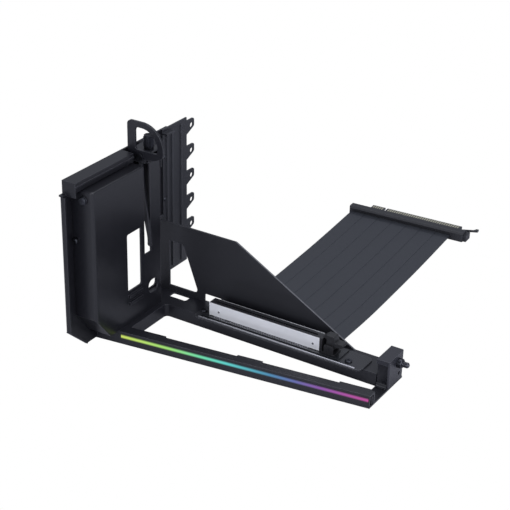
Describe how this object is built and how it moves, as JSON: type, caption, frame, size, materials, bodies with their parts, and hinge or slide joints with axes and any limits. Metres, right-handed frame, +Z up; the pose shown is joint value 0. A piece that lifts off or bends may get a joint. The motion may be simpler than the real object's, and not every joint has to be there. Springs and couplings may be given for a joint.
{
  "type": "vertical gpu bracket",
  "caption": "Folded steel bracket that stands a graphics card upright in a case, with riser socket, flat riser cable, clamp lever, slot ears and a light strip.",
  "frame": {"origin": "where the outside plane of the rear panel, the plane of the feet and the left end of the panel's top flange meet", "axes": "+X along the base away from the rear panel, +Y to the back and the cable, +Z up"},
  "size_m": [0.2183, 0.3471, 0.156],
  "materials": {
    "powder_steel": "matt black powder coat",
    "black_zinc": "black zinc fasteners",
    "black_plastic": "moulded black plastic",
    "board_black": "black solder mask",
    "shield_steel": "bright shield",
    "tail_tin": "tinned tails",
    "gilt": "gilt contacts",
    "ribbon_sleeve": "satin cable sleeve",
    "lens": "diffusing lens",
    "lamp": "lamp resin",
    "bright_screw": "plain steel screw"
  },
  "bodies": {
    "frame": {"base_frame": "powder_steel", "support_wall": "powder_steel", "rear_panel": "powder_steel", "slot_box": "powder_steel", "slot_plate": "powder_steel", "plate_rivets": "black_zinc", "side_screw": "black_zinc", "side_stud": "black_zinc", "latch_bracket": "powder_steel", "latch_pin": "black_zinc", "riser_tray": "powder_steel", "tray_screws": "black_zinc", "riser_board": "board_black", "socket_housing": "black_plastic", "socket_contacts": "gilt", "solder_tails": "tail_tin", "socket_shield": "shield_steel", "catch_base": "black_plastic", "catch_pin": "black_zinc", "ribbon_header": "black_plastic", "plug_housing": "black_plastic", "plug_board": "board_black", "plug_fingers": "gilt", "light_carrier": "black_plastic", "light_lens": "lens", "light_board": "board_black", "light_lamps": "lamp", "end_bracket": "powder_steel", "end_rivets": "black_zinc", "end_ferrule": "black_zinc", "ribbon_band_1": "ribbon_sleeve", "ribbon_band_2": "ribbon_sleeve", "ribbon_band_3": "ribbon_sleeve", "ribbon_band_4": "ribbon_sleeve", "ribbon_band_5": "ribbon_sleeve", "ribbon_band_6": "ribbon_sleeve", "ribbon_band_7": "ribbon_sleeve"},
    "lever": {"latch_lever": "powder_steel"},
    "thumbscrew": {"top_thumbscrew": "black_zinc"},
    "catch": {"socket_catch": "black_plastic"},
    "captive_screw": {"end_screw": "bright_screw"}
  },
  "joints": [
    {"name": "lever_pivot", "type": "hinge", "parent": "frame", "child": "lever", "pos_m": [0.0135, 0.0691, 0.13], "axis": [0, 1, 0], "range_deg": [0, 10]},
    {"name": "thumbscrew_turn", "type": "hinge", "parent": "frame", "child": "thumbscrew", "pos_m": [0.0132, 0.079, 0.139], "axis": [0, 0, 1], "continuous": true},
    {"name": "catch_pivot", "type": "hinge", "parent": "frame", "child": "catch", "pos_m": [0.1626, 0.0871, 0.0164], "axis": [0, 1, 0], "range_deg": [0, 20], "stiffness_Nm_per_rad": 0.004, "springref_deg": -5.73},
    {"name": "captive_screw_turn", "type": "hinge", "parent": "frame", "child": "captive_screw", "pos_m": [0.2103, 0.0955, 0.0156], "axis": [1, 0, 0], "continuous": true}
  ]
}
